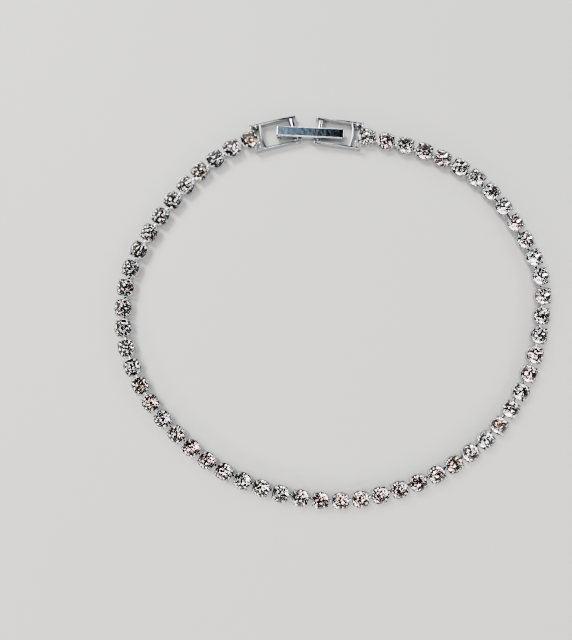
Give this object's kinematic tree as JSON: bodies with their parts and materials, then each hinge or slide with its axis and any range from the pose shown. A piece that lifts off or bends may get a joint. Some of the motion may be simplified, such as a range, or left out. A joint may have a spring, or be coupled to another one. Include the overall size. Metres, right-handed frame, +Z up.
{
  "type": "rhinestone tennis bracelet",
  "caption": "Closed loop of round brilliant stones in four-claw cups joined by short flat links, with a narrow fold-over clasp, lying flat.",
  "frame": {"origin": "on the surface that the bracelet lies on, below the middle of the loop", "axes": "+Z up, +X along the loop's longer width, +Y towards the clasp, whose lid is hinged at its -X end"},
  "size_m": [0.0636, 0.0573, 0.0019],
  "materials": {
    "set_stones": "cut, foil-backed clear glass in bright plated cups",
    "plated_metal": "bright silver-coloured plating",
    "polished_metal": "mirror-polished silver-coloured plating"
  },
  "bodies": {
    "bracelet": {"stone_chain_left": "set_stones", "stone_chain_right": "set_stones", "clasp_frame_left": "plated_metal", "clasp_frame_right": "plated_metal", "cross_pin_left": "plated_metal", "cross_pin_right": "plated_metal", "clasp_tongue": "plated_metal", "lid_hinge_pin": "plated_metal"},
    "clasp_lid": {"clasp_lid": "polished_metal"}
  },
  "joints": [
    {"name": "clasp_lid_hinge", "type": "hinge", "parent": "bracelet", "child": "clasp_lid", "pos_m": [-0.00805, 0.02599, 0.00068], "axis": [-0.0366, -0.9993, 0], "range_deg": [0, 110]}
  ]
}
